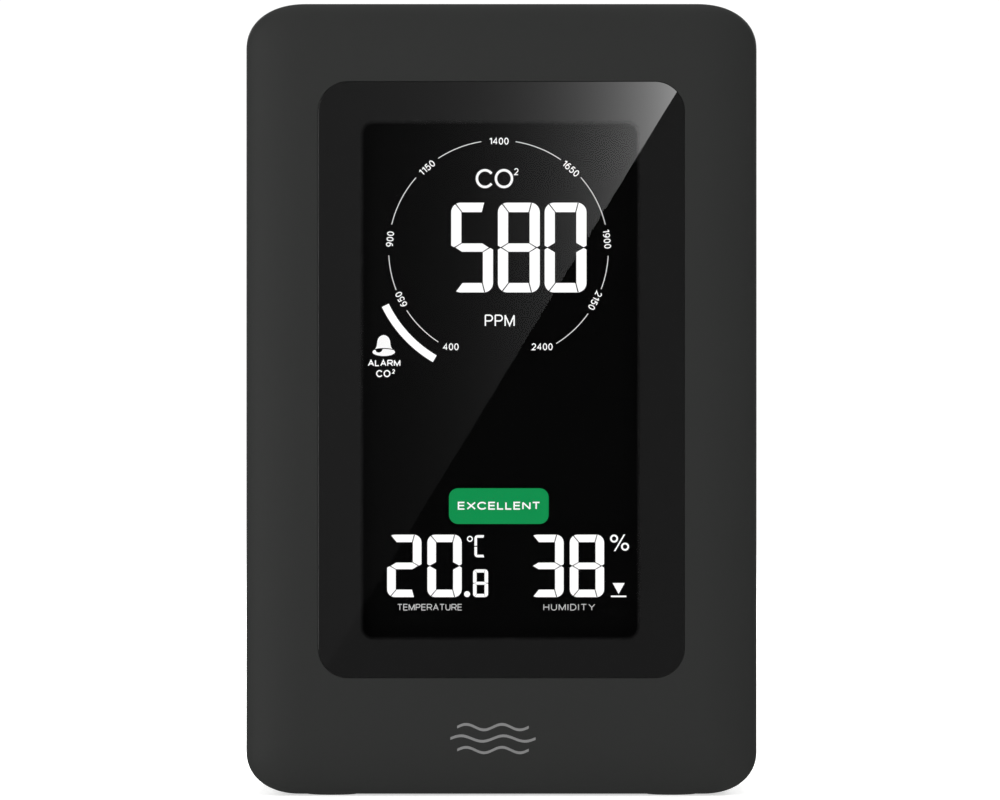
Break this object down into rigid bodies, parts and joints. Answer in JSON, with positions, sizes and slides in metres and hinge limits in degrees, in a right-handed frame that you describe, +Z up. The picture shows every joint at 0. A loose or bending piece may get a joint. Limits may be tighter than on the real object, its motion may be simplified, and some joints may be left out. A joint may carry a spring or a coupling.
{
  "type": "carbon dioxide monitor",
  "caption": "Upright desk carbon dioxide monitor: a dark moulded two-shell housing with a gloss display window, rear push buttons, grille and charging socket.",
  "frame": {"origin": "middle of the base, on the surface that the feet stand on", "axes": "+Z up, -Y out of the display, +X to the right of someone who reads the display"},
  "size_m": [0.078, 0.038, 0.121],
  "materials": {
    "housing": "matte fine-textured dark grey moulding",
    "lens": "gloss clear window with a black printed border",
    "lens_tape": "black bonding tape",
    "polariser": "near-black polarising film",
    "display_glass": "clear flat glass with a faint green edge",
    "diffuser": "frosted white film",
    "light_guide": "clear acrylic plate",
    "white_moulding": "white moulding",
    "flex_cable": "amber polyimide flexible cable",
    "led": "phosphor-filled white package",
    "carrier": "black moulding",
    "elastomer": "grey layered silicone",
    "circuit_board": "green solder mask",
    "chip": "black moulded package",
    "ceramic": "tan ceramic parts",
    "steel": "zinc-plated steel",
    "socket_moulding": "natural nylon",
    "gold": "gold-plated metal",
    "membrane": "white porous membrane",
    "felt": "grey dust felt",
    "cell_foil": "silver laminated pouch",
    "foam_tape": "dark foam tape",
    "lead_insulation": "red and black insulation",
    "button": "matte dark grey moulding",
    "plunger": "ivory moulding",
    "gasket": "soft black silicone",
    "foot": "black rubber"
  },
  "bodies": {
    "housing": {"front_housing": "housing", "rear_housing": "housing", "display_lens": "lens", "lens_tape": "lens_tape", "lcd_front_polariser": "polariser", "lcd_front_glass": "display_glass", "lcd_rear_glass": "display_glass", "lcd_rear_polariser": "polariser", "diffuser_film": "diffuser", "light_guide": "light_guide", "backlight_tray": "white_moulding", "backlight_flex": "flex_cable", "backlight_leds": "led", "display_carrier": "carrier", "zebra_strip": "elastomer", "main_board": "circuit_board", "mcu_chip": "chip", "power_chips": "chip", "board_passives": "ceramic", "clock_crystal": "steel", "buzzer": "chip", "flex_connectors": "socket_moulding", "battery_connector": "socket_moulding", "co2_sensor_board": "circuit_board", "co2_optical_chamber": "gold", "co2_filter": "membrane", "co2_header_pins": "gold", "climate_board": "circuit_board", "climate_chip": "chip", "climate_flex": "flex_cable", "vent_filter": "felt", "battery_cell": "cell_foil", "battery_tape": "foam_tape", "battery_leads": "lead_insulation", "battery_plug": "socket_moulding", "usb_board": "circuit_board", "usb_shell": "steel", "usb_tongue": "chip", "usb_gasket": "gasket", "usb_flex": "flex_cable", "switch_board": "circuit_board", "switch_bodies": "chip", "switch_flex": "flex_cable", "housing_screws": "steel", "board_screws": "steel", "switch_board_screws": "steel", "usb_board_screws": "steel", "rubber_feet": "foot"},
    "power_key": {"button_power": "button", "plunger_power": "plunger"},
    "mode_key": {"button_mode": "button", "plunger_mode": "plunger"},
    "up_key": {"button_up": "button", "plunger_up": "plunger"},
    "down_key": {"button_down": "button", "plunger_down": "plunger"}
  },
  "joints": [
    {"name": "power_press", "type": "slide", "parent": "housing", "child": "power_key", "axis": [0, -1, 0], "range_m": [0, 0.0005], "stiffness_N_per_m": 800, "springref_m": -0.0005},
    {"name": "mode_press", "type": "slide", "parent": "housing", "child": "mode_key", "axis": [0, -1, 0], "range_m": [0, 0.0005], "stiffness_N_per_m": 800, "springref_m": -0.0005},
    {"name": "up_press", "type": "slide", "parent": "housing", "child": "up_key", "axis": [0, -1, 0], "range_m": [0, 0.0005], "stiffness_N_per_m": 800, "springref_m": -0.0005},
    {"name": "down_press", "type": "slide", "parent": "housing", "child": "down_key", "axis": [0, -1, 0], "range_m": [0, 0.0005], "stiffness_N_per_m": 800, "springref_m": -0.0005}
  ]
}
